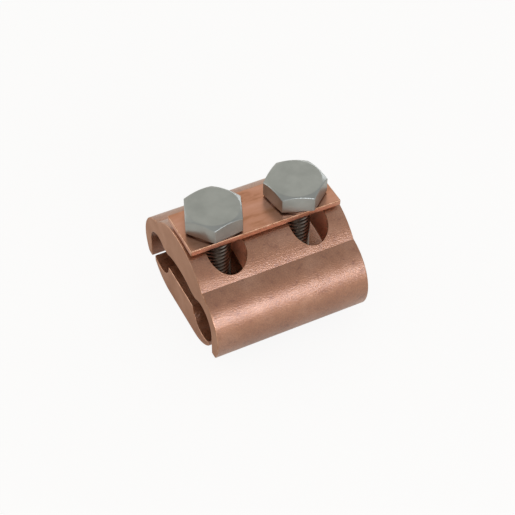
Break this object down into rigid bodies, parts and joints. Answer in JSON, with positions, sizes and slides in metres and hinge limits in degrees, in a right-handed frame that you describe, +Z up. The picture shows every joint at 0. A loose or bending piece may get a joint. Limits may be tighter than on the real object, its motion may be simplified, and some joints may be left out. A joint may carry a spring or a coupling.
{
  "type": "parallel connector",
  "caption": "Copper parallel-groove clamp: a round-backed, slotted upper jaw with curled lips rocks under a flat plate, and hex bolts draw it to a tapped lower jaw.",
  "frame": {"origin": "centre of the lower jaw's flat underside", "axes": "+X along the grooves, +Y across them, +Z up the bolts to their heads"},
  "size_m": [0.051, 0.054, 0.0409],
  "materials": {
    "jaw_copper": "blasted, matt copper",
    "plate_copper": "rolled copper strip, slightly stained",
    "stainless": "satin stainless steel"
  },
  "bodies": {
    "lower_jaw": {"lower_jaw": "jaw_copper"},
    "plate": {"pressure_plate": "plate_copper"},
    "upper_jaw": {"upper_jaw": "jaw_copper"},
    "bolt_left": {"bolt_left": "stainless"},
    "bolt_right": {"bolt_right": "stainless"}
  },
  "joints": [
    {"name": "clamp_travel", "type": "slide", "parent": "lower_jaw", "child": "plate", "axis": [0, 0, 1], "range_m": [-0.004, 0.004]},
    {"name": "jaw_rock", "type": "hinge", "parent": "plate", "child": "upper_jaw", "pos_m": [0, 0, 0.01081], "axis": [1, 0, 0], "range_deg": [-4, 4]},
    {"name": "bolt_left_turn", "type": "hinge", "parent": "plate", "child": "bolt_left", "pos_m": [-0.01365, 0, 0.03446], "axis": [0, 0, 1], "range_deg": [-960, 960]},
    {"name": "bolt_right_turn", "type": "hinge", "parent": "plate", "child": "bolt_right", "pos_m": [0.01365, 0, 0.03446], "axis": [0, 0, 1], "range_deg": [-960, 960]}
  ],
  "couplings": [
    {"joint": "bolt_left_turn", "follows": "clamp_travel", "rad_per_m": 4188.7},
    {"joint": "bolt_right_turn", "follows": "clamp_travel", "rad_per_m": 4188.7}
  ]
}
